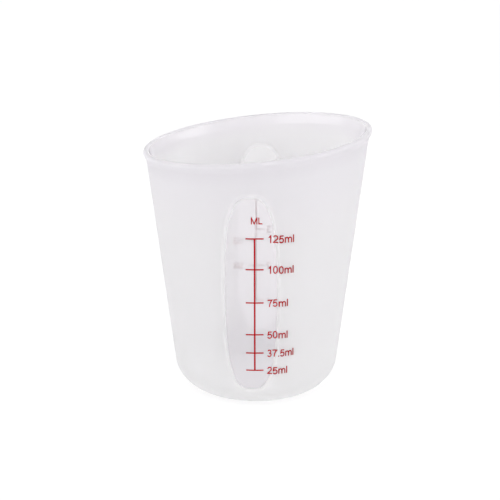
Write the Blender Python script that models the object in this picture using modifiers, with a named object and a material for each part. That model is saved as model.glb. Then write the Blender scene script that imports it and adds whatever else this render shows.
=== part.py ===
"""A soft silicone measuring cup: one moulded cup with a slanted rim, and the two printed scales on it.

Metres, +Z up. The cup stands on z = 0 with its axis on Z. The millilitre scale is on the
side towards -Y, the ounce and cup scale is on the side towards +Y, and the rim is high on +X.
"""

from math import atan, cos, pi, radians, sin, sqrt, tan

import bmesh
import bpy

MM = 0.001

# The cup's outside: a plain cone on a large rounded foot
HEIGHT = 80.2 * MM
FOOT_RADIUS = 25.0 * MM
MOUTH_RADIUS = 34.5 * MM
FOOT_ROUNDING = 9.4 * MM
RIM_TILT = radians(5.7)

# The moulding's thickness
WALL = 1.6 * MM
FLOOR = 2.0 * MM

# The rolled edge of the mouth, and the inside's flare below it
RIM_OVERHANG = 0.65 * MM
RIM_TAPER = 2.3 * MM
MOUTH_FLARE = 0.45 * MM
FLARE_DEPTH = 5.0 * MM

# The two polished oval windows, sunk into the outside of the wall
WINDOW_LOW = 6.1 * MM
WINDOW_HIGH = 70.6 * MM
WINDOW_WIDTH = 17.9 * MM
WINDOW_DEPTH = 0.5 * MM
WINDOW_DRAFT = 1.1 * MM
WINDOW_SQUARENESS = 2.8

# The ink of the scales
INK = 0.12 * MM
INK_CLEARANCE = 0.15 * MM
LINE_WIDTH = 0.45 * MM
TICK_WIDTH = 0.36 * MM
TICK_REACH = 2.7 * MM
ML_ASIDE = radians(2.2)
OUNCE_ASIDE = radians(2.9)

# Height of each mark above the bench
ML_MARKS = {25: 13.6 * MM, 37.5: 19.5 * MM, 50: 25.7 * MM, 75: 36.3 * MM, 100: 47.1 * MM, 125: 56.9 * MM}
OUNCE_MARKS = {1: 17.5 * MM, 2: 29.4 * MM, 3: 41.8 * MM, 4: 54.3 * MM}
CUP_MARKS = {"1/4": 29.4 * MM, "1/3": 37.9 * MM, "1/2": 54.3 * MM}

# How finely the round faces are divided
TURNS = 72
FOOT_STEPS = 8
RIM_STEPS = 12
TAPER_STEPS = 4
WALL_ROWS = 4
WINDOW_SPOKES = 48
WINDOW_RINGS = 4
SHARP_EDGE = radians(18)

WALL_SLOPE = (MOUTH_RADIUS - FOOT_RADIUS) / HEIGHT
WALL_ANGLE = atan(WALL_SLOPE)
LEVEL_WALL = WALL / cos(WALL_ANGLE)
RIM_ROUNDING = (LEVEL_WALL + RIM_OVERHANG - MOUTH_FLARE) / 2
RIM_DEPTH = RIM_ROUNDING + RIM_TAPER
RIM_DROP = MOUTH_RADIUS * tan(RIM_TILT)
PLAIN_WALL_TOP = HEIGHT - RIM_DROP - max(RIM_DEPTH, FLARE_DEPTH)


def outer_radius(z):
    """Radius of the cup's outside at a height, with its rounded foot and without its rim."""
    centre = foot_centre(FOOT_RADIUS, FOOT_ROUNDING, FOOT_ROUNDING)
    if z < FOOT_ROUNDING * (1 - sin(WALL_ANGLE)):
        return centre + sqrt(max(FOOT_ROUNDING ** 2 - (FOOT_ROUNDING - z) ** 2, 0.0))
    return cone_radius(z)


def cone_radius(z):
    """Radius of the plain cone that the wall's outside lies on."""
    return FOOT_RADIUS + WALL_SLOPE * z


def inner_radius(z):
    """Radius of the wall's inside, which flares a little towards the mouth."""
    start = HEIGHT - FLARE_DEPTH
    share = max(z - start, 0.0) / (FLARE_DEPTH - RIM_ROUNDING)
    return cone_radius(z) - LEVEL_WALL + MOUTH_FLARE * share ** 2


def foot_centre(radius_at_bench, height, rounding):
    """Distance from the axis to the centre of an arc that joins a level floor to the wall."""
    return radius_at_bench + WALL_SLOPE * height - rounding / cos(WALL_ANGLE)


def foot_arc(radius_at_bench, bottom, rounding):
    """Points of the rounded corner between floor and wall, from the floor up to the wall."""
    centre_height = bottom + rounding
    centre = foot_centre(radius_at_bench, centre_height, rounding)
    start = -pi / 2
    sweep = pi / 2 - WALL_ANGLE
    angles = [start + sweep * step / FOOT_STEPS for step in range(FOOT_STEPS + 1)]
    return [(centre + rounding * cos(a), centre_height + rounding * sin(a)) for a in angles]


def rim_arc():
    """The rolled edge, from the wall's outside over the top and down to its inside."""
    centre_height = HEIGHT - RIM_ROUNDING
    centre = inner_radius(centre_height) + RIM_ROUNDING
    angles = [pi * step / RIM_STEPS for step in range(RIM_STEPS + 1)]
    top = [(centre + RIM_ROUNDING * cos(a), centre_height + RIM_ROUNDING * sin(a)) for a in angles]
    swell = []
    for step in range(1, TAPER_STEPS):
        share = step / TAPER_STEPS
        z = HEIGHT - RIM_DEPTH + RIM_TAPER * share
        swell.append((cone_radius(z) + RIM_OVERHANG * sin(share * pi / 2) ** 2, z))
    return swell + top


def cup_profile():
    """The section from the middle of the floor's underside, up outside, over the rim and down inside."""
    inner_rounding = max(FOOT_ROUNDING - WALL, WALL)
    outside = foot_arc(FOOT_RADIUS, 0.0, FOOT_ROUNDING)
    inside = foot_arc(FOOT_RADIUS - LEVEL_WALL, FLOOR, inner_rounding)
    wall_base = outside[-1][1]
    rows = [wall_base + (PLAIN_WALL_TOP - wall_base) * step / WALL_ROWS for step in range(1, WALL_ROWS + 1)]
    wall_outside = [(cone_radius(z), z) for z in rows + [HEIGHT - RIM_DEPTH]]
    flare = FLARE_DEPTH - RIM_ROUNDING
    flared_rows = [HEIGHT - FLARE_DEPTH + flare * step / TAPER_STEPS for step in range(TAPER_STEPS)]
    wall_inside = [(inner_radius(z), z) for z in reversed(rows + flared_rows)]
    return [(0.0, 0.0)] + outside + wall_outside + rim_arc() + wall_inside + inside[::-1] + [(0.0, FLOOR)]


def new_collection(name):
    collection = bpy.data.collections.new(name)
    bpy.context.scene.collection.children.link(collection)
    return collection


def new_object(name, mesh, collection):
    thing = bpy.data.objects.new(name, mesh)
    collection.objects.link(thing)
    return thing


def new_material(name, colour, roughness, transmission=0.0):
    material = bpy.data.materials.new(name)
    material.use_nodes = True
    shader = material.node_tree.nodes["Principled BSDF"]
    shader.inputs["Base Color"].default_value = (*colour, 1.0)
    shader.inputs["Roughness"].default_value = roughness
    shader.inputs["Metallic"].default_value = 0.0
    shader.inputs["Transmission Weight"].default_value = transmission
    return material


def apply_modifiers(thing):
    """Replace an object's mesh by the one that its modifiers make."""
    depsgraph = bpy.context.evaluated_depsgraph_get()
    mesh = bpy.data.meshes.new_from_object(thing.evaluated_get(depsgraph))
    thing.modifiers.clear()
    thing.data = mesh


def turned(name, profile, collection):
    """A closed solid of revolution about Z from a section in the XZ plane."""
    mesh = bpy.data.meshes.new(name)
    section = bmesh.new()
    corners = [section.verts.new((x, 0.0, z)) for x, z in reversed(profile)]
    for lower, upper in zip(corners, corners[1:]):
        section.edges.new((lower, upper))
    section.to_mesh(mesh)
    section.free()
    thing = new_object(name, mesh, collection)
    screw = thing.modifiers.new("turn", "SCREW")
    screw.steps = TURNS
    screw.render_steps = TURNS
    screw.use_merge_vertices = True
    screw.merge_threshold = 0.00001
    apply_modifiers(thing)
    return thing


def slant_mouth(thing):
    """Raise the mouth on +X and lower it on -X, sliding each point along the cone it lies on.

    The rim moves in full. Below it the move fades out towards the foot: the wall there is a
    plain cone, so its rows slide along it without a change of shape.
    """
    level = 2 * foot_arc(FOOT_RADIUS, 0.0, FOOT_ROUNDING)[-1][1]
    for vertex in thing.data.vertices:
        place = vertex.co
        if place.z <= level:
            continue
        share = min((place.z - level) / (PLAIN_WALL_TOP - level), 1.0)
        radius = sqrt(place.x ** 2 + place.y ** 2)
        lean = tan(RIM_TILT) * place.x / radius
        rise = share * lean * cone_radius(HEIGHT) / (1 - WALL_SLOPE * lean)
        growth = (radius + WALL_SLOPE * rise) / radius
        place.x *= growth
        place.y *= growth
        place.z += rise


def window_outline(margin):
    """The oval as pairs of arc length and height, drawn in by a margin."""
    centre = (WINDOW_LOW + WINDOW_HIGH) / 2
    half_height = (WINDOW_HIGH - WINDOW_LOW) / 2 - margin
    half_width = WINDOW_WIDTH / 2 - margin
    power = 2 / WINDOW_SQUARENESS
    points = []
    for spoke in range(WINDOW_SPOKES):
        angle = 2 * pi * spoke / WINDOW_SPOKES
        across = abs(cos(angle)) ** power * (1 if cos(angle) >= 0 else -1)
        along = abs(sin(angle)) ** power * (1 if sin(angle) >= 0 else -1)
        points.append((half_width * across, centre + half_height * along))
    return points


def on_wall(arc, z, depth, facing):
    """A point at an arc length from the window's middle, sunk into the outside of the wall."""
    radius = outer_radius(z)
    angle = arc / radius
    return (facing * -sin(angle) * (radius - depth), facing * cos(angle) * (radius - depth), z)


def window_cutter(name, facing, collection):
    """A curved oval plug whose inner face follows the wall and whose edge has draft."""
    sheet = bmesh.new()
    centre = (WINDOW_LOW + WINDOW_HIGH) / 2
    reach = WINDOW_DRAFT / WINDOW_DEPTH
    layers = []
    for depth in (WINDOW_DEPTH, -WINDOW_DEPTH):
        outline = window_outline(depth * reach)
        rings = []
        for ring in range(1, WINDOW_RINGS + 1):
            share = ring / WINDOW_RINGS
            places = [(arc * share, centre + (z - centre) * share) for arc, z in outline]
            rings.append([sheet.verts.new(on_wall(arc, z, depth, facing)) for arc, z in places])
        middle = sheet.verts.new(on_wall(0.0, centre, depth, facing))
        layers.append((middle, rings))
    for middle, rings in layers:
        for spoke in range(WINDOW_SPOKES):
            following = (spoke + 1) % WINDOW_SPOKES
            sheet.faces.new((middle, rings[0][spoke], rings[0][following]))
            for inner, outer in zip(rings, rings[1:]):
                sheet.faces.new((inner[spoke], outer[spoke], outer[following], inner[following]))
    sunk_edge = layers[0][1][-1]
    proud_edge = layers[1][1][-1]
    for spoke in range(WINDOW_SPOKES):
        following = (spoke + 1) % WINDOW_SPOKES
        sheet.faces.new((sunk_edge[spoke], proud_edge[spoke], proud_edge[following], sunk_edge[following]))
    bmesh.ops.recalc_face_normals(sheet, faces=sheet.faces)
    mesh = bpy.data.meshes.new(name)
    sheet.to_mesh(mesh)
    sheet.free()
    cutter = new_object(name, mesh, collection)
    cutter.hide_render = True
    cutter.display_type = "WIRE"
    return cutter


def make_cup(collection, cutters):
    """The whole moulding: turned, slanted at the mouth and cut with its two windows."""
    cup = turned("cup", cup_profile(), collection)
    slant_mouth(cup)
    for name, facing in (("front_window", -1), ("back_window", 1)):
        cut = cup.modifiers.new(name, "BOOLEAN")
        cut.operation = "DIFFERENCE"
        cut.solver = "EXACT"
        cut.object = window_cutter(name + "_cutter", facing, cutters)
    cup.data.shade_smooth()
    cup.data.set_sharp_from_angle(angle=SHARP_EDGE)
    return cup


def tick_columns(sides):
    """Arc lengths across a mark, on the sides where it sticks out of the scale's line."""
    half_line = LINE_WIDTH / 2
    middle = (half_line + TICK_REACH) / 2
    left = [-TICK_REACH, -middle] if -1 in sides else []
    right = [middle, TICK_REACH] if 1 in sides else []
    return left + [-half_line, half_line] + right


def make_scale(name, marks, aside, facing, collection):
    """One connected layer of ink: an upright line crossed by marks, each with the sides it reaches.

    The layer lies in the window, just clear of the wall, and a little aside of its middle.
    Side -1 is the reader's left, and 1 the reader's right.
    """
    sheet = bmesh.new()
    depth = WINDOW_DEPTH - INK_CLEARANCE
    grid = {}

    def corner(arc, z):
        key = (round(arc / MM, 4), round(z / MM, 4))
        if key not in grid:
            grid[key] = sheet.verts.new(on_wall(arc + aside * outer_radius(z), z, depth, facing))
        return grid[key]

    heights = sorted(marks)
    for height, following in zip(heights, heights[1:] + [None]):
        low = height - TICK_WIDTH / 2
        high = height + TICK_WIDTH / 2
        columns = tick_columns(marks[height])
        for left, right in zip(columns, columns[1:]):
            sheet.faces.new([corner(left, low), corner(right, low), corner(right, high), corner(left, high)])
        if following is not None:
            half = LINE_WIDTH / 2
            top = following - TICK_WIDTH / 2
            sheet.faces.new([corner(-half, high), corner(half, high), corner(half, top), corner(-half, top)])
    mesh = bpy.data.meshes.new(name)
    sheet.to_mesh(mesh)
    sheet.free()
    scale = new_object(name, mesh, collection)
    skin = scale.modifiers.new("ink", "SOLIDIFY")
    skin.thickness = INK
    skin.offset = 1.0
    return scale


def main():
    for thing in list(bpy.data.objects):
        bpy.data.objects.remove(thing, do_unlink=True)
    parts = new_collection("measuring_cup")
    cutters = new_collection("cutters")

    cup = make_cup(parts, cutters)
    cup.data.materials.append(new_material("silicone", (0.86, 0.85, 0.88), 0.35, 0.5))

    ink = new_material("scale_ink", (0.62, 0.01, 0.03), 0.45)
    ml_marks = {height: (-1, 1) for height in ML_MARKS.values()}
    make_scale("ml_scale", ml_marks, ML_ASIDE, -1, parts).data.materials.append(ink)

    ounce_cup_marks = {}
    for height in OUNCE_MARKS.values():
        ounce_cup_marks[height] = (-1,)
    for height in CUP_MARKS.values():
        ounce_cup_marks[height] = ounce_cup_marks.get(height, ()) + (1,)
    make_scale("ounce_cup_scale", ounce_cup_marks, OUNCE_ASIDE, 1, parts).data.materials.append(ink)


main()
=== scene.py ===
# %% [markdown]
# # A silicone measuring cup
#
# This lesson dresses a small measuring cup of soft, milky silicone. The cup's solids come from a
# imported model, the frame, and stay where they are. We make the things that the eye looks for: the
# fine curve of the wall, its satin outside and polished inside, two clear windows, and red print.

# %% Load the frame
import math

import bmesh
import bpy
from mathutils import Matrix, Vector


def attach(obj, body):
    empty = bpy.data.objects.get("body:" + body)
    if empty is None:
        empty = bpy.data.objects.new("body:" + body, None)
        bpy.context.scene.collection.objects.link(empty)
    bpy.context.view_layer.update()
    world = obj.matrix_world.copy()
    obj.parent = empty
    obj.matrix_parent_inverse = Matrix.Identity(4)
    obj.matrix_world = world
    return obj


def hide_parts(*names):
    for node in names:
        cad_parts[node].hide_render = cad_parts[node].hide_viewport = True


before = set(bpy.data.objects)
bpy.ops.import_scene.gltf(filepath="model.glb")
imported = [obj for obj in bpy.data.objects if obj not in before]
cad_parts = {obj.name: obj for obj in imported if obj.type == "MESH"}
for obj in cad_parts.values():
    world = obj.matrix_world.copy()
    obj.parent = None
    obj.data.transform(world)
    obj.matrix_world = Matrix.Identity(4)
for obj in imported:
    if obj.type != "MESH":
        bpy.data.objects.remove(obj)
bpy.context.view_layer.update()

# %% [markdown]
# ## The sizes that drive everything
#
# A measuring cup is simple to describe: a cone, a rounded foot, a rolled rim that is cut on the
# slant, and an oval window. We keep those sizes in one place, in metres, and work the rest out from
# them. They are the solids' own sizes, so the dressed cup stays where the solid one is. Only the flare of
# the mouth begins a little higher, where the picture shows it.

# %% Sizes of the moulding
MM = 0.001
RIM_TILT = math.radians(5.7)
FOOT_RADIUS = 25.0 * MM
MOUTH_RADIUS = 34.5 * MM
FOOT_ROUNDING = 9.4 * MM
WALL = 1.6 * MM
FLOOR = 2.0 * MM
HEIGHT = 80.2 * MM

RIM_OVERHANG = 0.65 * MM
RIM_TAPER = 2.3 * MM
MOUTH_FLARE = 0.45 * MM
FLARE_DEPTH = 3.7 * MM
FLARE_CURVE = 1.15

WINDOW_LOW = 6.1 * MM
WINDOW_HIGH = 70.6 * MM
WINDOW_WIDTH = 17.9 * MM
WINDOW_DEPTH = 0.5 * MM
WINDOW_DRAFT = 1.1 * MM
WINDOW_SQUARENESS = 2.8

WALL_SLOPE = (MOUTH_RADIUS - FOOT_RADIUS) / HEIGHT
WALL_ANGLE = math.atan(WALL_SLOPE)
WINDOW_MIDDLE = (WINDOW_LOW + WINDOW_HIGH) / 2
LEVEL_WALL = WALL / math.cos(WALL_ANGLE)
RIM_ROUNDING = (LEVEL_WALL + RIM_OVERHANG - MOUTH_FLARE) / 2
RIM_DEPTH = RIM_ROUNDING + RIM_TAPER
PLAIN_WALL_TOP = HEIGHT - MOUTH_RADIUS * math.tan(RIM_TILT) - max(RIM_DEPTH, FLARE_DEPTH)
print("wall leans", round(math.degrees(WALL_ANGLE), 2), "degrees")


# %% [markdown]
# ## Node trees as plain arithmetic
#
# Node trees for shapes and for materials are mostly sums. Dozens of hand-wired Math nodes are hard to
# read, so one small class wraps an output socket, and Python's own operators add the nodes. The same
# class serves geometry and shader trees, because both know the Math node.

# %% A socket that can be added and multiplied
class Field:
    """An output socket of a node tree. Arithmetic on it adds Math nodes."""

    def __init__(self, tree, socket):
        self.tree = tree
        self.socket = socket

    def math(self, operation, *others, swap=False):
        values = [other.socket if isinstance(other, Field) else other for other in others]
        operands = values + [self.socket] if swap else [self.socket] + values
        return node(self.tree, "ShaderNodeMath", {"operation": operation}, *operands)

    def __add__(self, other):
        return self.math("ADD", other)

    def __sub__(self, other):
        return self.math("SUBTRACT", other)

    def __rsub__(self, other):
        return self.math("SUBTRACT", other, swap=True)

    def __mul__(self, other):
        return self.math("MULTIPLY", other)

    def __truediv__(self, other):
        return self.math("DIVIDE", other)

    def __rtruediv__(self, other):
        return self.math("DIVIDE", other, swap=True)

    def __pow__(self, other):
        return self.math("POWER", other)

    def __abs__(self):
        return self.math("ABSOLUTE")

    __radd__ = __add__
    __rmul__ = __mul__

    def at_least(self, other):
        return self.math("MAXIMUM", other)

    def at_most(self, other):
        return self.math("MINIMUM", other)

    def smooth(self, low, high):
        """0 below low, 1 above high, and a soft step between them."""
        settings = {"interpolation_type": "SMOOTHSTEP"}
        limits = {"From Min": low, "From Max": high}
        return node(self.tree, "ShaderNodeMapRange", settings, Value=self.socket, **limits)


def node(tree, kind, settings, *values, output=0, **named):
    """Add one node: its settings first, then its inputs by place or by name. Gives one output."""
    made = tree.nodes.new(kind)
    for name, value in settings.items():
        setattr(made, name, value)
    pairs = [(made.inputs[place], value) for place, value in enumerate(values)]
    pairs += [(made.inputs[name], value) for name, value in named.items()]
    for socket, value in pairs:
        if isinstance(value, Field):
            value = value.socket
        if isinstance(value, bpy.types.NodeSocket):
            tree.links.new(value, socket)
        else:
            socket.default_value = value
    return Field(tree, made.outputs[output])


def split(vector):
    """The three numbers of a vector field."""
    return [node(vector.tree, "ShaderNodeSeparateXYZ", {}, vector, output=axis) for axis in range(3)]


# %% [markdown]
# ## The oval window as a formula
#
# Each window is a superellipse wrapped on the cone: rounder than a slot, squarer than an ellipse. The
# wall is sunk inside it, and the shader clears its frosting there, so both need to know how far a point
# lies inside the outline. Dividing the formula's value by its own slope gives that distance in metres,
# and because the formula is written with Field, it works in either kind of tree. Two least values keep it
# from dividing by nothing in the middle of the oval.

# %% Distance inside the window's outline
LEAST_SIZE, LEAST_SLOPE = 0.2, 1.0


def inside_window(x, y, z):
    """Metres from a point of the wall in to the outline of the nearer window, negative outside it."""
    arc = abs(x).math("ARCTAN2", abs(y)) * (x * x + y * y) ** 0.5
    along = abs(z - WINDOW_MIDDLE)
    across_power = (arc / (WINDOW_WIDTH / 2)) ** WINDOW_SQUARENESS
    along_power = (along / ((WINDOW_HIGH - WINDOW_LOW) / 2)) ** WINDOW_SQUARENESS
    size = ((across_power + along_power) ** (1 / WINDOW_SQUARENESS)).at_least(LEAST_SIZE)
    slope = ((across_power / arc) ** 2 + (along_power / along) ** 2) ** 0.5
    return (1 - size) * size ** (WINDOW_SQUARENESS - 1) / slope.at_least(LEAST_SLOPE)


window_sides = [round(side / MM, 1) for side in (WINDOW_HIGH - WINDOW_LOW, WINDOW_WIDTH)]
print("window, mm:", window_sides[0], "high and", window_sides[1], "wide")


# %% [markdown]
# ## The section of the wall
#
# A turned shape starts as its section, the line that the lathe would follow. Ours starts in the middle
# of the floor, climbs the inside, rolls over the rim and comes down the outside to the middle of the
# underside. Arcs are made by a formula, and straight stretches are divided evenly, finely on the
# outside, where the windows need close rows. Each point also says whether it is on the outside, and how
# much it is painted darker in the band of the mouth: partly for the thicker silicone there, partly as
# painted shade.

# %% Points of the section
def foot_arc(radius_at_bench, bottom, rounding, steps):
    """The rounded corner between floor and wall, from the floor up."""
    height = bottom + rounding
    centre = radius_at_bench + WALL_SLOPE * height - rounding / math.cos(WALL_ANGLE)
    sweep = math.pi / 2 - WALL_ANGLE
    angles = [-math.pi / 2 + sweep * step / steps for step in range(steps + 1)]
    return [(centre + rounding * math.cos(a), height + rounding * math.sin(a)) for a in angles]


def cone_radius(z):
    return FOOT_RADIUS + WALL_SLOPE * z


def inner_radius(z):
    share = max(z - (HEIGHT - FLARE_DEPTH), 0.0) / (FLARE_DEPTH - RIM_ROUNDING)
    return cone_radius(z) - LEVEL_WALL + MOUTH_FLARE * share ** FLARE_CURVE


def spread(low, high, steps):
    return [low + (high - low) * step / steps for step in range(steps + 1)]


# How much of the darker tint each part of the mouth takes: partly the thicker silicone, partly painted
# shade.
FLARE_THICK_AND_SHADE = 0.8
RIM_THICK_AND_SHADE = 0.15
TAPER_THICK_AND_SHADE = 0.4


def wall_section():
    """Points (radius, height, outside, painted shade) from the floor's middle round to the underside's."""
    flat_steps, arc_steps, rim_steps = 6, 14, 16
    inner_rows, outer_rows, flare_rows = 16, 150, 8
    inner_foot = foot_arc(FOOT_RADIUS - LEVEL_WALL, FLOOR, FOOT_ROUNDING - WALL, arc_steps)
    outer_foot = foot_arc(FOOT_RADIUS, 0.0, FOOT_ROUNDING, arc_steps * 2)
    rim_height = HEIGHT - RIM_ROUNDING
    rim_middle = inner_radius(rim_height) + RIM_ROUNDING

    floor = [(radius, FLOOR) for radius in spread(0.0, inner_foot[0][0], flat_steps)]
    inside = [(inner_radius(z), z) for z in spread(inner_foot[-1][1], PLAIN_WALL_TOP, inner_rows)[1:]]
    flare = [(inner_radius(z), z) for z in spread(HEIGHT - FLARE_DEPTH, rim_height, flare_rows)[:-1]]
    turn = [math.pi * (1 - step / rim_steps) for step in range(rim_steps + 1)]
    rim = [(rim_middle + RIM_ROUNDING * math.cos(a), rim_height + RIM_ROUNDING * math.sin(a)) for a in turn]
    taper = []
    for share in spread(1.0, 0.0, flare_rows)[1:]:
        z = HEIGHT - RIM_DEPTH + RIM_TAPER * share
        taper.append((cone_radius(z) + RIM_OVERHANG * math.sin(share * math.pi / 2) ** 2, z))
    outside = [(cone_radius(z), z) for z in spread(PLAIN_WALL_TOP, outer_foot[-1][1], outer_rows)]
    underside = [(radius, 0.0) for radius in spread(outer_foot[0][0], 0.0, flat_steps)[1:]]

    rim_edge = rim_steps // 4
    plain = floor + inner_foot[1:] + inside
    points = [(*point, 0.0, 0.0) for point in plain]
    points += [(*point, 0.0, FLARE_THICK_AND_SHADE) for point in flare + rim[:rim_edge]]
    points += [(*point, 1.0, RIM_THICK_AND_SHADE) for point in rim[rim_edge:]]
    points += [(*point, 1.0, TAPER_THICK_AND_SHADE) for point in taper]
    return points + [(*point, 1.0, 0.0) for point in outside + outer_foot[::-1][1:] + underside]


section_points = wall_section()
print("section:", len(section_points), "points")


# %% [markdown]
# ## Two guide lines
#
# The node tree below sweeps the section round a ring. Both guides are plain meshes of points: the ring
# holds one direction for each column. Its columns crowd together at the two windows, where the sunk
# edge needs a fine mesh, and spread out over the plain sides, which keeps the whole cup light.

# %% Make the guides
def guide(name, points, **marks):
    """A mesh of points joined in a line, with any named numbers on each point."""
    mesh = bpy.data.meshes.new(name)
    mesh.from_pydata(points, [(at, at + 1) for at in range(len(points) - 1)], [])
    for mark, values in marks.items():
        layer = mesh.attributes.new(mark, "FLOAT", "POINT")
        layer.data.foreach_set("value", values)
    thing = bpy.data.objects.new(name, mesh)
    bpy.context.scene.collection.objects.link(thing)
    return thing


def ring_angles():
    """Angles from -Y, counted towards +X, once round: close together at both windows."""
    window_reach = math.radians(24)
    window_columns, side_columns = 96, 60
    angles = []
    for middle in (0.0, math.pi):
        angles += spread(middle - window_reach, middle + window_reach, window_columns)[:-1]
        angles += spread(middle + window_reach, middle + math.pi - window_reach, side_columns)[:-1]
    return angles


ring_directions = [(math.sin(a), -math.cos(a), 0.0) for a in ring_angles()]
section = guide(
    "section_guide", [(point[0], 0.0, point[1]) for point in section_points],
    outside=[point[2] for point in section_points], band=[point[3] for point in section_points])
ring = guide("ring_guide", ring_directions)
print("ring:", len(ring_directions), "columns")


# %% [markdown]
# ## Helpers for materials
#
# A material is a tree of nodes too. A Math node turns a colour grey, so colours are blended by a Mix node
# instead. A slow noise between two near shades keeps a surface from looking like flat paint.

# %% Make a material and blend its colours
def new_material(name):
    """A material with an empty node tree, and its output node."""
    material = bpy.data.materials.new(name)
    material.use_nodes = True
    material.node_tree.nodes.clear()
    return material, material.node_tree


def output(tree, shader):
    out = tree.nodes.new("ShaderNodeOutputMaterial")
    tree.links.new(shader.socket, out.inputs["Surface"])


def blend(tree, factor, one, two):
    """A colour between two others."""
    mix = tree.nodes.new("ShaderNodeMix")
    mix.data_type = "RGBA"
    tree.links.new(factor.socket, mix.inputs["Factor"])
    for name, colour in (("A", one), ("B", two)):
        if isinstance(colour, Field):
            tree.links.new(colour.socket, mix.inputs[name])
        else:
            mix.inputs[name].default_value = colour
    return Field(tree, mix.outputs["Result"])


def cloudy(tree, place, pale, deep, scale):
    """A colour that drifts slowly between two shades."""
    drift = node(tree, "ShaderNodeTexNoise", {}, Vector=place, Scale=scale, Detail=2.0)
    return blend(tree, drift, pale, deep)


# %% [markdown]
# ## Silicone
#
# Cured silicone bends light a little more than water does (index 1.41) and is milky: part of the light
# goes through and part is scattered back. One Principled node can say both, with a transmission weight
# below 1 and a scattering length of a millimetre. The tints are near white, a hair towards violet.

# %% One shader for silicone
MILKY_PALE = (0.91, 0.897, 0.92, 1.0)
MILKY_DEEP = (0.89, 0.877, 0.90, 1.0)
CLEAR_TINT = (0.965, 0.948, 0.968, 1.0)
# The next darker tint is painted shade on the floor and in the band of the mouth, where it also stands for
# the thicker silicone.
THICK_AND_SHADE_TINT = (0.79, 0.775, 0.80, 1.0)
# The next near-white is painted light: the lower walls, and a ring round the windows, are painted paler
# with it.
PAINTED_LIGHT_PALE = (1.0, 0.988, 1.0, 1.0)
SCATTER_LENGTH = 1.0 * MM
SILICONE_IOR = 1.41


def silicone(tree, colour, transmission, roughness, normal=None, scatter=1.0):
    """One Principled node for silicone: milky where transmission is low."""
    inputs = {
        "Base Color": colour, "Roughness": roughness, "IOR": SILICONE_IOR,
        "Transmission Weight": transmission, "Subsurface Weight": scatter,
        "Subsurface Radius": (1.0, 1.0, 1.0), "Subsurface Scale": SCATTER_LENGTH}
    if normal is not None:
        inputs["Normal"] = normal
    return node(tree, "ShaderNodeBsdfPrincipled", {}, **inputs)


print("silicone: index", SILICONE_IOR, "and scattering over", SCATTER_LENGTH / MM, "mm")


# %% [markdown]
# ## The frosted outside
#
# The real mould was sand-blasted on its outside, so the outside is satin, except in the two ovals. A Mix
# Shader clears the frosting inside the ovals, with the window's formula as its factor. The rounded step
# round each oval gets a painted highlight, a pale ring, and the lower wall is painted paler, as painted
# light. The rim and the taper under it are painted a shade darker, partly for the thicker silicone and
# partly as painted shade. A Translucent share lets the light of the inside glow through the thin wall,
# less so at the thick foot. Fine noise in the bump gives the satin its tooth.

# %% Frosted silicone
TOOTH_SCALE = 2600.0
BLOTCH_SCALE = 140.0
SATIN_TRANSMISSION = 0.3
SATIN_ROUGHNESS = 0.52
OUTER_CLEARNESS = 0.68
GLOW_AT_FOOT, GLOW_GAIN = 0.1, 0.23
GLOW_RANGE = (0.0, 26.0 * MM)
OUTER_PAINTED_LIGHT_RANGE = (20.0 * MM, 78.0 * MM)
OUTER_STEP_PAINTED_LIGHT = 0.15


def frosted_silicone():
    """The outside: satin and milky, painted paler low down and round the windows as painted light, and
    cleared inside them.
    """
    material, tree = new_material("silicone_frosted")
    place = node(tree, "ShaderNodeTexCoord", {}, output=3)
    x, y, z = split(place)
    inside = inside_window(x, y, z)
    window = inside.smooth(0.75 * WINDOW_DRAFT, 1.2 * WINDOW_DRAFT)
    edge = inside.smooth(-0.6 * MM, 0.0)
    tooth = node(tree, "ShaderNodeTexNoise", {}, Vector=place, Scale=TOOTH_SCALE, Detail=3.0)
    blotch = node(tree, "ShaderNodeTexNoise", {}, Vector=place, Scale=BLOTCH_SCALE, Detail=2.0)
    bump = node(tree, "ShaderNodeBump", {}, Strength=0.12, Distance=0.02 * MM, Height=tooth)
    # Painted light: the lower outside is painted paler, to lift the shade that falls low on the wall.
    low = 1 - z.smooth(*OUTER_PAINTED_LIGHT_RANGE)
    colour = blend(tree, low, cloudy(tree, place, MILKY_PALE, MILKY_DEEP, 45.0), PAINTED_LIGHT_PALE)
    # The rim and its taper are painted darker: partly the thicker silicone, partly painted shade.
    band = node(tree, "ShaderNodeAttribute", {"attribute_name": "band"}, output=2)
    colour = blend(tree, band, colour, THICK_AND_SHADE_TINT)
    satin = silicone(tree, colour, SATIN_TRANSMISSION, SATIN_ROUGHNESS + 0.10 * blotch, bump)
    through = node(tree, "ShaderNodeBsdfTranslucent", {}, MILKY_PALE, bump)
    glow = GLOW_AT_FOOT + GLOW_GAIN * z.smooth(*GLOW_RANGE)
    satin = node(tree, "ShaderNodeMixShader", {}, glow, satin, through)
    # Painted highlight: a pale, opaque ring is mixed in on the rounded step round each oval.
    step = silicone(tree, PAINTED_LIGHT_PALE, 0.0, 0.3, bump)
    satin = node(tree, "ShaderNodeMixShader", {}, OUTER_STEP_PAINTED_LIGHT * edge, satin, step)
    clear = silicone(tree, CLEAR_TINT, OUTER_CLEARNESS, 0.02 + 0.02 * blotch, scatter=0.0)
    output(tree, node(tree, "ShaderNodeMixShader", {}, window, satin, clear))
    return material


frosted = frosted_silicone()
print("frosted silicone:", len(frosted.node_tree.nodes), "nodes")


# %% [markdown]
# ## The polished inside
#
# The core of the mould was polished, so the inside is glossy, with a faint swell. It is clearer behind the
# windows, where the print of the far side has to show through. The top of the back window, which shows
# over the near rim, stays milky, with a painted highlight on its outline. The lower inside is painted
# paler, as painted light. The floor is painted darker, as painted shade, and so is the band of the mouth,
# most of all at the mouth's two ends, where it also stands for the thicker silicone.

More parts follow.
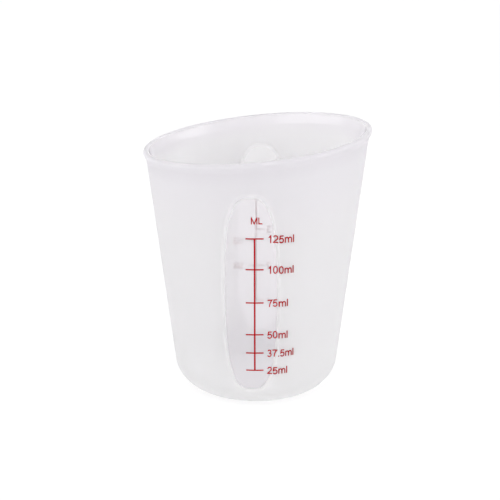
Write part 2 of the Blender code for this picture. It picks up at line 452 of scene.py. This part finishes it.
# %% Polished silicone
SWELL_SCALE = 90.0
MILKY_TRANSMISSION = 0.34
INNER_CLEARNESS = 0.75
BACK_TOP_LEAN = 0.25
BACK_TOP_RANGE = (65.0 * MM, 70.0 * MM)
BACK_TOP_MILK = 0.9
INNER_STEP_PAINTED_LIGHT = 0.8
INNER_PAINTED_LIGHT_RANGE = (50.0 * MM, 80.0 * MM)
FLOOR_SHADE_RANGE = (3.0 * MM, 15.0 * MM)
SHADE_BAND_SHARE, SHADE_BAND_GAIN = 0.3, 0.6
SHADE_BAND_ENDS = (0.6 * MOUTH_RADIUS, 1.15 * MOUTH_RADIUS)


def polished_silicone():
    """The inside: glossy and clearer behind the windows, with painted light low down and painted shade on
    the floor and at the mouth.
    """
    material, tree = new_material("silicone_polished")
    place = node(tree, "ShaderNodeTexCoord", {}, output=3)
    swell = node(tree, "ShaderNodeTexNoise", {}, Vector=place, Scale=SWELL_SCALE, Detail=2.0)
    bump = node(tree, "ShaderNodeBump", {}, Strength=0.04, Distance=0.05 * MM, Height=swell)
    x, y, z = split(place)
    inside = inside_window(x, y, z)
    top = (z + BACK_TOP_LEAN * y).smooth(*BACK_TOP_RANGE)
    behind = inside.smooth(-1.5 * MM, 0.5 * MM) * (1 - BACK_TOP_MILK * top)
    # Painted highlight: a pale ring is painted on the outline of the back window's top, where it shows over
    # the near rim.
    edge = top * inside.smooth(-0.4 * MM, 0.2 * MM) * (1 - inside.smooth(0.7 * MM, 1.3 * MM))
    gloss = 0.015 + 0.02 * swell
    # Painted shade: the floor and the band of the mouth are painted darker, deepest at the mouth's two
    # ends; in the band it also stands for the thicker silicone.
    band = node(tree, "ShaderNodeAttribute", {"attribute_name": "band"}, output=2)
    shaded_ends = abs(x).smooth(*SHADE_BAND_ENDS)
    thick_and_shade = (1 - z.smooth(*FLOOR_SHADE_RANGE)).at_least(band * (SHADE_BAND_SHARE + SHADE_BAND_GAIN * shaded_ends))
    # Painted light: the lower inside is painted paler.
    low = 1 - z.smooth(*INNER_PAINTED_LIGHT_RANGE)
    colour = blend(tree, low, cloudy(tree, place, CLEAR_TINT, MILKY_PALE, 30.0), PAINTED_LIGHT_PALE)
    colour = blend(tree, thick_and_shade, colour, THICK_AND_SHADE_TINT)
    milky = silicone(tree, colour, MILKY_TRANSMISSION, gloss, bump)
    clear = silicone(tree, CLEAR_TINT, INNER_CLEARNESS, gloss, scatter=0.0)
    wall = node(tree, "ShaderNodeMixShader", {}, behind, milky, clear)
    step = silicone(tree, PAINTED_LIGHT_PALE, 0.0, gloss)
    output(tree, node(tree, "ShaderNodeMixShader", {}, INNER_STEP_PAINTED_LIGHT * edge, wall, step))
    return material


polished = polished_silicone()
print("polished silicone:", len(polished.node_tree.nodes), "nodes")


# %% [markdown]
# ## Sweep the cup
#
# The wall follows a rule all the way round, so Geometry Nodes make it. A flat grid has a row for each
# point of the section and a column for each direction of the ring, and each grid point looks its two
# guides up by number. Two more steps bend the plain cone: the mouth slides up on one side, and the wall
# sinks inside the windows. The tree's inputs carry the rim's tilt and the windows' depth.

# %% Helpers for the tree
def number_input(tree, name, value, low=0.0, high=10.0):
    socket = tree.interface.new_socket(name, in_out="INPUT", socket_type="NodeSocketFloat")
    socket.default_value = value
    socket.min_value = low
    socket.max_value = high


def sample(tree, kind, source, value, index):
    """The value of one numbered point of another geometry."""
    made = tree.nodes.new("GeometryNodeSampleIndex")
    made.data_type = kind
    made.domain = "POINT"
    tree.links.new(source.socket, made.inputs["Geometry"])
    tree.links.new(value.socket, made.inputs["Value"])
    tree.links.new(index.socket, made.inputs["Index"])
    return Field(tree, made.outputs["Value"])


print("a grid of", len(section_points), "rows and", len(ring_directions), "columns")


# %% [markdown]
# ## The tree that sweeps
#
# The last column of the grid stands where the first one does, so its number is taken modulo the columns
# and the seam is merged. The first and the last row lie on the axis, and each merges to one point. The
# wall above the foot slides with the mouth, more and more with its height.

# %% Build the node tree
def cup_tree(rows, columns):
    tree = bpy.data.node_groups.new("swept_cup", "GeometryNodeTree")
    tree.is_modifier = True
    tree.interface.new_socket("Section", in_out="INPUT", socket_type="NodeSocketGeometry")
    tree.interface.new_socket("Ring", in_out="INPUT", socket_type="NodeSocketObject")
    number_input(tree, "Rim Tilt", 0.0, -0.5, 0.5)
    number_input(tree, "Window Depth", 0.0, 0.0, 0.002)
    tree.interface.new_socket("Cup", in_out="OUTPUT", socket_type="NodeSocketGeometry")
    source = tree.nodes.new("NodeGroupInput")
    section_in, ring_in, tilt, depth = (Field(tree, source.outputs[at]) for at in range(4))
    ring_points = node(tree, "GeometryNodeObjectInfo", {}, ring_in, output=4)

    grid = node(tree, "GeometryNodeMeshGrid", {}, **{
        "Size X": float(columns), "Size Y": float(rows - 1), "Vertices X": columns + 1, "Vertices Y": rows})
    here = node(tree, "GeometryNodeInputPosition", {})
    column, row, _ = split(here)
    column = (column + columns / 2).math("ROUND").math("MODULO", columns)
    row = (row + (rows - 1) / 2).math("ROUND")
    profile = sample(tree, "FLOAT_VECTOR", section_in, here, row)
    direction = sample(tree, "FLOAT_VECTOR", ring_points, here, column)

    reach, _, height = split(profile)
    aim_x, aim_y, _ = split(direction)
    level = 2 * foot_arc(FOOT_RADIUS, 0.0, FOOT_ROUNDING, 1)[-1][1]
    lean = tilt.math("TANGENT") * aim_x
    share = ((height - level) / (PLAIN_WALL_TOP - level)).at_least(0.0).at_most(1.0)
    rise = share * lean * MOUTH_RADIUS / (1 - lean * WALL_SLOPE)
    reach = reach + rise * WALL_SLOPE
    height = height + rise
    turned = node(tree, "ShaderNodeCombineXYZ", {}, aim_x * reach, aim_y * reach, height)
    kept = grid
    for name in ("outside", "band"):
        mark = node(tree, "GeometryNodeInputNamedAttribute", {"data_type": "FLOAT"}, name)
        value = sample(tree, "FLOAT", section_in, mark, row)
        kept = node(tree, "GeometryNodeStoreNamedAttribute", {"data_type": "FLOAT", "domain": "POINT"},
                    kept, Name=name, Value=value)
    swept = node(tree, "GeometryNodeSetPosition", {}, kept, Position=turned)
    closed = node(tree, "GeometryNodeMergeByDistance", {}, swept, Distance=0.001 * MM)

    x, y, z = split(here)
    radius = (x * x + y * y) ** 0.5
    was_outside = node(tree, "GeometryNodeInputNamedAttribute", {"data_type": "FLOAT"}, "outside")
    sunk = inside_window(x, y, z).smooth(0.0, WINDOW_DRAFT) * depth * was_outside
    move = node(tree, "ShaderNodeCombineXYZ", {}, 0 - x * sunk / radius, 0 - y * sunk / radius, 0.0)
    cut = node(tree, "GeometryNodeSetPosition", {}, closed, Offset=move)
    smooth = node(tree, "GeometryNodeSetShadeSmooth", {}, cut)
    solid = node(tree, "GeometryNodeRealizeInstances", {}, smooth)
    inner = node(tree, "GeometryNodeSetMaterial", {}, solid, Material=polished)
    outer = node(tree, "GeometryNodeSetMaterial", {}, inner, Selection=was_outside, Material=frosted)
    out = tree.nodes.new("NodeGroupOutput")
    tree.links.new(outer.socket, out.inputs[0])
    return tree


# %% [markdown]
# ## From the tree to a plain mesh
#
# A model that leaves Blender can't carry a node tree, so the evaluated mesh is copied to an object of its
# own and the guides go. A modifier's inputs are set by their sockets' identifiers before that. A swept
# skin doesn't know its outside, so its faces are turned outwards, and a closed skin has no open edges.

# %% Run it and keep the mesh
def set_input(modifier, name, value):
    """Set a modifier's input by its socket's identifier."""
    for item in modifier.node_group.interface.items_tree:
        if item.item_type == "SOCKET" and item.in_out == "INPUT" and item.name == name:
            modifier[item.identifier] = value
            return
    raise KeyError(name)


def baked(thing, name):
    """A new object with the mesh that another object's modifiers make."""
    depsgraph = bpy.context.evaluated_depsgraph_get()
    mesh = bpy.data.meshes.new_from_object(thing.evaluated_get(depsgraph))
    made = bpy.data.objects.new(name, mesh)
    bpy.context.scene.collection.objects.link(made)
    return made


def outward(thing):
    """Turn every face of a closed mesh outwards."""
    work = bmesh.new()
    work.from_mesh(thing.data)
    bmesh.ops.recalc_face_normals(work, faces=work.faces)
    open_edges = sum(1 for edge in work.edges if not edge.is_manifold)
    print(thing.name, "volume, ml:", round(work.calc_volume() * 1e6, 2), "open edges:", open_edges)
    work.to_mesh(thing.data)
    work.free()


sweep = section.modifiers.new("sweep", "NODES")
sweep.node_group = cup_tree(len(section_points), len(ring_directions))
set_input(sweep, "Ring", ring)
set_input(sweep, "Rim Tilt", RIM_TILT)
set_input(sweep, "Window Depth", WINDOW_DEPTH)
cup = baked(section, "moulded_cup")
for guide_line in (section, ring):
    bpy.data.objects.remove(guide_line, do_unlink=True)
outward(cup)
print("cup:", len(cup.data.polygons), "faces,", len(cup.data.materials), "materials")
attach(cup, "root")
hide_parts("cup")


# %% [markdown]
# ## Red ink
#
# The scales are screen printed. Screen ink isn't quite even: it is a little darker where it pooled, and
# has a dry, silky surface.

# %% Ink
INK_RED = (0.44, 0.004, 0.010, 1.0)
INK_POOLED = (0.36, 0.002, 0.006, 1.0)


def ink(name, colour, pooled):
    material, tree = new_material(name)
    place = node(tree, "ShaderNodeTexCoord", {}, output=3)
    grain = node(tree, "ShaderNodeTexNoise", {}, Vector=place, Scale=900.0, Detail=3.0)
    shade = cloudy(tree, place, colour, pooled, 700.0)
    output(tree, node(tree, "ShaderNodeBsdfPrincipled", {}, **{
        "Base Color": shade, "Roughness": 0.5 + 0.2 * grain, "Specular IOR Level": 0.08}))
    return material


red_ink = ink("red_ink", INK_RED, INK_POOLED)
print("ink:", len(red_ink.node_tree.nodes), "nodes")


# %% [markdown]
# ## Numbers and words
#
# Such scales are lettered in a plain grotesque with one line width all over. Blender's own font has other
# shapes, so we draw each character with a few strokes, as a signwriter does: straight runs and bows, in
# units of the letter's height. Each character has its advance and its strokes.

# %% Draw the characters
def bow(x, y, reach_x, reach_y, start, end, squareness=2.15, steps=14):
    """Points on part of a rounded loop, between two angles in degrees."""
    points = []
    for turn in spread(math.radians(start), math.radians(end), steps):
        c, s = math.cos(turn), math.sin(turn)
        across = math.copysign(abs(c) ** (2 / squareness), c)
        up = math.copysign(abs(s) ** (2 / squareness), s)
        points.append((x + reach_x * across, y + reach_y * up))
    return points


STROKE = 0.16
TOP, BASE = 1 - STROKE / 2, STROKE / 2
CHARACTERS = {
    "0": (0.776, [bow(0.388, 0.5, 0.262, 0.45, 0, 360, steps=28)]),
    "1": (0.776, [[(0.20, 0.74), (0.33, 0.81), (0.43, 0.93), (0.48, 0.96), (0.48, 0.0)]]),
    "2": (0.776, [bow(0.385, 0.70, 0.255, 0.25, 172, -28) + [
        (0.52, 0.45), (0.30, 0.27), (0.14, 0.13), (0.11, BASE), (0.71, BASE)]]),
    "3": (0.776, [
        bow(0.37, 0.735, 0.225, 0.215, 165, -90), bow(0.37, 0.285, 0.265, 0.235, 90, -165),
        [(0.28, 0.52), (0.40, 0.52)]]),
    "4": (0.776, [[(0.72, 0.275), (0.08, 0.275), (0.54, 0.94), (0.54, 0.0)]]),
    "5": (0.776, [[(0.67, TOP), (0.22, TOP), (0.135, 0.49), (0.17, 0.52)] + bow(
        0.375, 0.325, 0.275, 0.275, 125, -160)]),
    "7": (0.776, [[(0.07, TOP), (0.69, TOP), (0.53, 0.70), (0.40, 0.40), (0.33, 0.0)]]),
    "m": (1.163, [
        [(0.15, 0.0), (0.15, 0.725)], bow(0.375, 0.43, 0.225, 0.245, 180, 0) + [(0.60, 0.0)],
        bow(0.825, 0.43, 0.215, 0.245, 180, 0) + [(1.04, 0.0)]]),
    "l": (0.31, [[(0.155, 0.0), (0.155, 1.0)]]),
    ".": (0.388, [[(0.19, 0.0), (0.19, STROKE)]]),
    "/": (0.388, [[(0.03, -0.02), (0.36, 1.02)]]),
    "M": (1.163, [[(0.15, 0.0), (0.15, 0.98), (0.58, 0.04), (1.01, 0.98), (1.01, 0.0)]]),
    "L": (0.776, [[(0.16, 1.0), (0.16, BASE), (0.72, BASE)]]),
    "O": (1.086, [bow(0.543, 0.5, 0.43, 0.45, 0, 360, steps=28)]),
    "Z": (0.853, [[(0.09, TOP), (0.74, TOP), (0.11, BASE), (0.79, BASE)]]),
    "C": (1.008, [bow(0.52, 0.5, 0.41, 0.45, 40, 320, steps=22)]),
    "U": (1.008, [[(0.16, 1.0)] + bow(0.51, 0.38, 0.35, 0.32, 180, 360) + [(0.86, 1.0)]]),
    "P": (0.931, [
        [(0.16, 0.0), (0.16, TOP), (0.5, TOP)] + bow(0.5, 0.70, 0.32, 0.235, 90, -90) + [(0.16, 0.465)]]),
}


print("characters drawn:", "".join(sorted(CHARACTERS)))


# %% [markdown]
# ## Widen the strokes
#
# A stroke becomes a ribbon: two edges, one on each side, that meet in a mitre at each corner. Long runs
# are divided first, because the ribbon will be wrapped on a round wall.

# %% Ribbons
def divided(points, longest):
    """The same line with its long runs cut into shorter ones."""
    line = [points[0]]
    for start, end in zip(points, points[1:]):
        steps = max(1, math.ceil(math.dist(start, end) / longest))
        for step in range(1, steps + 1):
            share = step / steps
            line.append((start[0] + (end[0] - start[0]) * share, start[1] + (end[1] - start[1]) * share))
    return line


LONGEST_RUN = 0.12
SHARPEST_MITRE = 0.45


def ribbon(points, width):
    """Left and right edge of a line of even width, with its corners mitred."""
    edges = []
    closed = math.dist(points[0], points[-1]) < 1e-6
    for at, here in enumerate(points):
        before = points[at - 1] if at else (points[-2] if closed else None)
        after = points[at + 1] if at + 1 < len(points) else (points[1] if closed else None)
        ways = [Vector(b) - Vector(a) for a, b in ((before, here), (here, after)) if a and b]
        sides = [Vector((-way.y, way.x)).normalized() for way in ways]
        mitre = sum(sides, Vector((0.0, 0.0))).normalized()
        reach = width / 2 / max(mitre.dot(sides[0]), SHARPEST_MITRE)
        edges.append((Vector(here) + mitre * reach, Vector(here) - mitre * reach))
    return edges


print("edges of an L's ribbon:", len(ribbon(divided(CHARACTERS["L"][1][0], LONGEST_RUN), STROKE)))


# %% [markdown]
# ## Wrap the print on the wall
#
# A ribbon is already a mesh, so it can be wrapped at once: the distance along the line becomes an angle
# round the cup, and the height stays. The wall's radius at that place, less whatever the window is sunk
# there, puts the ink on the surface.

# %% Places on the wall
def sunk_at(arc, z):
    """How deep the window is sunk at a place on the wall."""
    arc = max(abs(arc), 1e-6)
    along = max(abs(z - WINDOW_MIDDLE), 1e-6)
    across_power = (arc / (WINDOW_WIDTH / 2)) ** WINDOW_SQUARENESS
    along_power = (along / ((WINDOW_HIGH - WINDOW_LOW) / 2)) ** WINDOW_SQUARENESS
    size = max((across_power + along_power) ** (1 / WINDOW_SQUARENESS), LEAST_SIZE)
    slope = max(math.hypot(across_power / arc, along_power / along), LEAST_SLOPE)
    inside = (1 - size) * size ** (WINDOW_SQUARENESS - 1) / slope
    share = min(max(inside / WINDOW_DRAFT, 0.0), 1.0)
    return WINDOW_DEPTH * share * share * (3 - 2 * share)


def on_wall(arc, z, lift, facing):
    """A point over the outside of the wall, facing -1 for the front and 1 for the back."""
    radius = cone_radius(z)
    angle = arc / radius
    radius += lift - sunk_at(arc, z)
    return Vector((-facing * math.sin(angle) * radius, facing * math.cos(angle) * radius, z))


print("windows are sunk, mm:", round(sunk_at(0.0, WINDOW_MIDDLE) / MM, 2))


# %% [markdown]
# ## A layer of ink
#
# Each word and each line scale is one mesh, made from its ribbons and put on the wall. Its faces are
# turned to the viewer first, because Solidify gives the ink its thickness from the outside in.

# %% Print one layer
INK_LIFT = 0.02 * MM
INK_THICKNESS = 0.08 * MM


def printed(name, ribbons, facing):
    """One thin layer of ink. Each ribbon is a row of edges, each edge two places (arc length, height)."""
    work = bmesh.new()
    for edges in ribbons:
        pairs = [[work.verts.new(on_wall(arc, z, INK_LIFT, facing)) for arc, z in edge] for edge in edges]
        for one, two in zip(pairs, pairs[1:]):
            work.faces.new((one[0], one[1], two[1], two[0]))
    for face in work.faces:
        face.normal_update()
        if face.normal.dot((0.0, facing, 0.0)) < 0:
            face.normal_flip()
    mesh = bpy.data.meshes.new(name)
    work.to_mesh(mesh)
    work.free()
    mesh.materials.append(red_ink)
    layer = bpy.data.objects.new(name, mesh)
    bpy.context.scene.collection.objects.link(layer)
    skin = layer.modifiers.new("ink", "SOLIDIFY")
    skin.thickness = INK_THICKNESS
    skin.offset = -1.0
    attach(layer, "root")
    return layer


print("ink, mm:", INK_THICKNESS / MM, "thick, its face", INK_LIFT / MM, "over the wall")


# %% [markdown]
# ## Words and line scales
#
# A word is set letter by letter, beside its scale's line. A line scale is an upright line with its marks,
# as thin as print, in place of the thicker solids of the frame. Both lean with the cone, a fixed angle
# aside of the window's middle.

# %% Words and line scales
LETTER_HEIGHT = 2.4 * MM
NARROWNESS = 0.89
LINE_WIDTH = 0.5 * MM
TICK_WIDTH = 0.42 * MM
TICK_REACH = 2.7 * MM
ML_ASIDE = math.radians(2.2)
OUNCE_ASIDE = math.radians(2.9)


def word(name, text, arc, z, facing, height=LETTER_HEIGHT, anchor=0.0, narrowness=NARROWNESS):
    """A word beside its scale's line, at an arc length that is its start, middle or end (anchor 0 to 1)."""
    ribbons = []
    arc += (ML_ASIDE if facing < 0 else OUNCE_ASIDE) * cone_radius(z)
    place = -anchor * sum(CHARACTERS[letter][0] for letter in text)
    for letter in text:
        advance, strokes = CHARACTERS[letter]
        for stroke in strokes:
            edges = ribbon(divided(stroke, LONGEST_RUN), STROKE)
            ribbons.append([
                [(arc + (place + x) * height * narrowness, z + (y - 0.5) * height) for x, y in edge]
                for edge in edges])
        place += advance
    return printed(name, ribbons, facing)


def line_scale(name, node_name, marks, aside, facing):
    """An upright line with marks, each a height with the sides that it reaches to, -1 left and 1 right."""
    half_line, half_tick = LINE_WIDTH / 2, TICK_WIDTH / 2
    upright = []
    for z in spread(min(marks) - half_tick, max(marks) + half_tick, 120):
        middle = aside * cone_radius(z)
        upright.append([(middle - half_line, z), (middle + half_line, z)])
    ribbons = [upright]
    for z, sides in marks.items():
        middle = aside * cone_radius(z)
        for side in sides:
            reach = spread(middle + side * half_line, middle + side * TICK_REACH, 8)
            ribbons.append([[(arc, z - half_tick), (arc, z + half_tick)] for arc in reach])
    layer = printed(name, ribbons, facing)
    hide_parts(node_name)
    return layer


print("letters are", LETTER_HEIGHT / MM, "mm high and marks reach", TICK_REACH / MM, "mm")


# %% [markdown]
# ## What the scales say
#
# The front scale counts millilitres, and its words stand to the right of the marks. The back scale has
# ounces on the reader's left and parts of a cup on the right. The marks' heights, and how far each scale
# stands aside of the window's middle, are those of the solids.

# %% Print the front and the back
ML_MARKS = {"125ml": 56.9, "100ml": 47.1, "75ml": 36.3, "50ml": 25.7, "37.5ml": 19.5, "25ml": 13.6}
OUNCE_MARKS = {"1": 17.5, "2": 29.4, "3": 41.8, "4": 54.3}
CUP_MARKS = {"1/4": 29.4, "1/3": 37.9, "1/2": 54.3}
ML_WORD_START = 3.75 * MM
BACK_LEFT_END = -3.6 * MM
BACK_RIGHT_START = 4.15 * MM
WORD_DROP = 0.2
TIGHT_NARROWNESS = 0.84
HEADING_HEIGHT = 2.1 * MM
ML_HEADING_ARC, ML_HEADING_Z = 0.62 * MM, 62.5 * MM
BACK_HEADING_Z = 60.0 * MM

ml_marks = {height * MM: (-1, 1) for height in ML_MARKS.values()}
back_marks = {}
for heights, side in ((OUNCE_MARKS, -1), (CUP_MARKS, 1)):
    for height in heights.values():
        back_marks[height * MM] = back_marks.get(height * MM, ()) + (side,)
line_scale("printed_ml_scale", "ml_scale", ml_marks, ML_ASIDE, -1)
line_scale("printed_ounce_cup_scale", "ounce_cup_scale", back_marks, OUNCE_ASIDE, 1)

for text, height in ML_MARKS.items():
    tight = TIGHT_NARROWNESS if "." in text else NARROWNESS
    name = "print_" + text.replace(".", "_")
    word(name, text, ML_WORD_START, (height - WORD_DROP) * MM, -1, narrowness=tight)
word("print_ml_heading", "ML", ML_HEADING_ARC, ML_HEADING_Z, -1, height=HEADING_HEIGHT, anchor=0.5)
for text, height in OUNCE_MARKS.items():
    word("print_ounce_" + text, text, BACK_LEFT_END, height * MM, 1, anchor=1.0)
for text, height in CUP_MARKS.items():
    word("print_cup_" + text.replace("/", "_"), text, BACK_RIGHT_START, height * MM, 1)
word("print_ounce_heading", "OZ", BACK_LEFT_END, BACK_HEADING_Z, 1, height=HEADING_HEIGHT, anchor=1.0)
word("print_cup_heading", "CUP", BACK_RIGHT_START - 1.0 * MM, BACK_HEADING_Z, 1, height=HEADING_HEIGHT)
print("words printed:", len(ML_MARKS) + len(OUNCE_MARKS) + len(CUP_MARKS) + 3)


# %% [markdown]
# ## A white studio
#
# A milky cup on white is the hardest thing to light: its colour is almost the background's. The world
# gives soft light all round. Rays from the camera, and those that the silicone bends or mirrors, see plain
# white instead, so that the clear windows look out on a white background. The floor is a pale board that
# glows like a light table and still takes the cup's shadow.

# %% World and floor
WORLD_LIGHT = 0.88
FLOOR_GLOW = 0.60
FLOOR_RADIUS = 6.0
BOARD_GREY = (0.45, 0.45, 0.45, 1.0)
WHITE = (1.0, 1.0, 1.0, 1.0)


def white_world(light):
    """A world that lights with one strength and looks plain white."""
    world = bpy.data.worlds.new("studio")
    world.use_nodes = True
    tree = world.node_tree
    tree.nodes.clear()
    path = tree.nodes.new("ShaderNodeLightPath")
    seen = Field(tree, path.outputs["Is Camera Ray"])
    for kind in ("Is Glossy Ray", "Is Transmission Ray"):
        seen = seen.at_least(Field(tree, path.outputs[kind]))
    strength = light + (1.0 - light) * seen
    shader = node(tree, "ShaderNodeBackground", {}, WHITE, strength)
    out = tree.nodes.new("ShaderNodeOutputWorld")
    tree.links.new(shader.socket, out.inputs["Surface"])
    bpy.context.scene.world = world


def pale_floor(glow):
    """A white table top, softly lit from below as in a light tent, that still takes a shadow."""
    material, tree = new_material("studio_floor")
    board = node(tree, "ShaderNodeBsdfDiffuse", {}, BOARD_GREY)
    lift = node(tree, "ShaderNodeEmission", {}, WHITE, glow)
    output(tree, node(tree, "ShaderNodeAddShader", {}, board, lift))
    bpy.ops.mesh.primitive_circle_add(vertices=96, radius=FLOOR_RADIUS, fill_type="NGON")
    floor = bpy.context.object
    floor.name = "studio_floor"
    floor.data.materials.append(material)


white_world(WORLD_LIGHT)
pale_floor(FLOOR_GLOW)
print("world lights at", WORLD_LIGHT, "and the floor glows at", FLOOR_GLOW)


# %% [markdown]
# ## Softboxes and weak lamps
#
# Two large softboxes stand at the sides, so high that only the flare of the mouth mirrors them, just under
# the far rim. They give gloss alone. Three weak lamps give plain light alone, so that each can be set
# without spoiling the other. A lamp's ray visibility tells them apart.

# %% Softboxes and weak lamps
def softbox(name, azimuth, elevation, distance, size, power, mirrored=True):
    """A lamp that looks at the cup, for gloss alone or for plain light. Azimuth runs from -Y to +X."""
    lamp = bpy.data.lights.new(name, "AREA")
    lamp.shape = "RECTANGLE"
    lamp.size, lamp.size_y = size
    lamp.energy = power
    thing = bpy.data.objects.new(name, lamp)
    bpy.context.scene.collection.objects.link(thing)
    angle, rise = math.radians(azimuth), math.radians(elevation)
    aim = Vector((math.sin(angle) * math.cos(rise), -math.cos(angle) * math.cos(rise), math.sin(rise)))
    target = Vector((0.0, 0.0, HEIGHT / 2))
    thing.location = target + aim * distance
    thing.rotation_euler = aim.to_track_quat("Z", "Y").to_euler()
    thing.visible_diffuse = not mirrored
    thing.visible_glossy = mirrored
    thing.visible_transmission = not mirrored


GLOSS_DISTANCE = 0.9
GLOSS_LAMPS = {"softbox_right": (91, 19, (1.15, 0.45), 4.1), "softbox_left": (-67, 24, (1.5, 0.4), 4.1)}
PLAIN_DISTANCE, PLAIN_SIZE = 1.2, (0.8, 0.8)
PLAIN_LAMPS = {"key": (68, 24, 2.3), "fill": (-68, 24, 2.2), "front": (0, 10, 0.8)}

for name, (azimuth, elevation, size, power) in GLOSS_LAMPS.items():
    softbox(name, azimuth, elevation, GLOSS_DISTANCE, size, power)
for name, (azimuth, elevation, power) in PLAIN_LAMPS.items():
    softbox(name, azimuth, elevation, PLAIN_DISTANCE, PLAIN_SIZE, power, mirrored=False)
print("lamps:", len(GLOSS_LAMPS) + len(PLAIN_LAMPS))


# %% [markdown]
# ## The camera
#
# The camera stands where the photographer's did: a little to the right of the millilitre scale, looking
# down on the mouth. A sideways shift of the lens puts the cup's axis where the picture has it, without
# turning the view.

# %% Camera
FRAME_SIDE = 500
CAMERA_DISTANCE = 0.395
CAMERA_AZIMUTH = math.radians(3.0)
CAMERA_PITCH = math.radians(17.77)
AIM_HEIGHT = 43.55 * MM
FOCAL_PIXELS = 1250.0
AXIS_COLUMN = 256.03


def photo_camera():
    """A camera that looks at the cup's axis as the photograph does."""
    lens = bpy.data.cameras.new("camera")
    lens.sensor_width = 36.0
    lens.lens = lens.sensor_width * FOCAL_PIXELS / FRAME_SIDE
    lens.shift_x = -(AXIS_COLUMN - FRAME_SIDE / 2) / FRAME_SIDE
    lens.clip_start = 0.01
    camera = bpy.data.objects.new("camera", lens)
    bpy.context.scene.collection.objects.link(camera)
    level = math.cos(CAMERA_PITCH)
    across, back = math.sin(CAMERA_AZIMUTH) * level, -math.cos(CAMERA_AZIMUTH) * level
    aim = Vector((across, back, math.sin(CAMERA_PITCH)))
    camera.location = Vector((0.0, 0.0, AIM_HEIGHT)) + aim * CAMERA_DISTANCE
    camera.rotation_euler = aim.to_track_quat("Z", "Y").to_euler()
    bpy.context.scene.camera = camera


photo_camera()
bpy.context.scene.view_settings.view_transform = "Standard"
print("camera looks down", round(math.degrees(CAMERA_PITCH), 1), "degrees from", CAMERA_DISTANCE, "m")
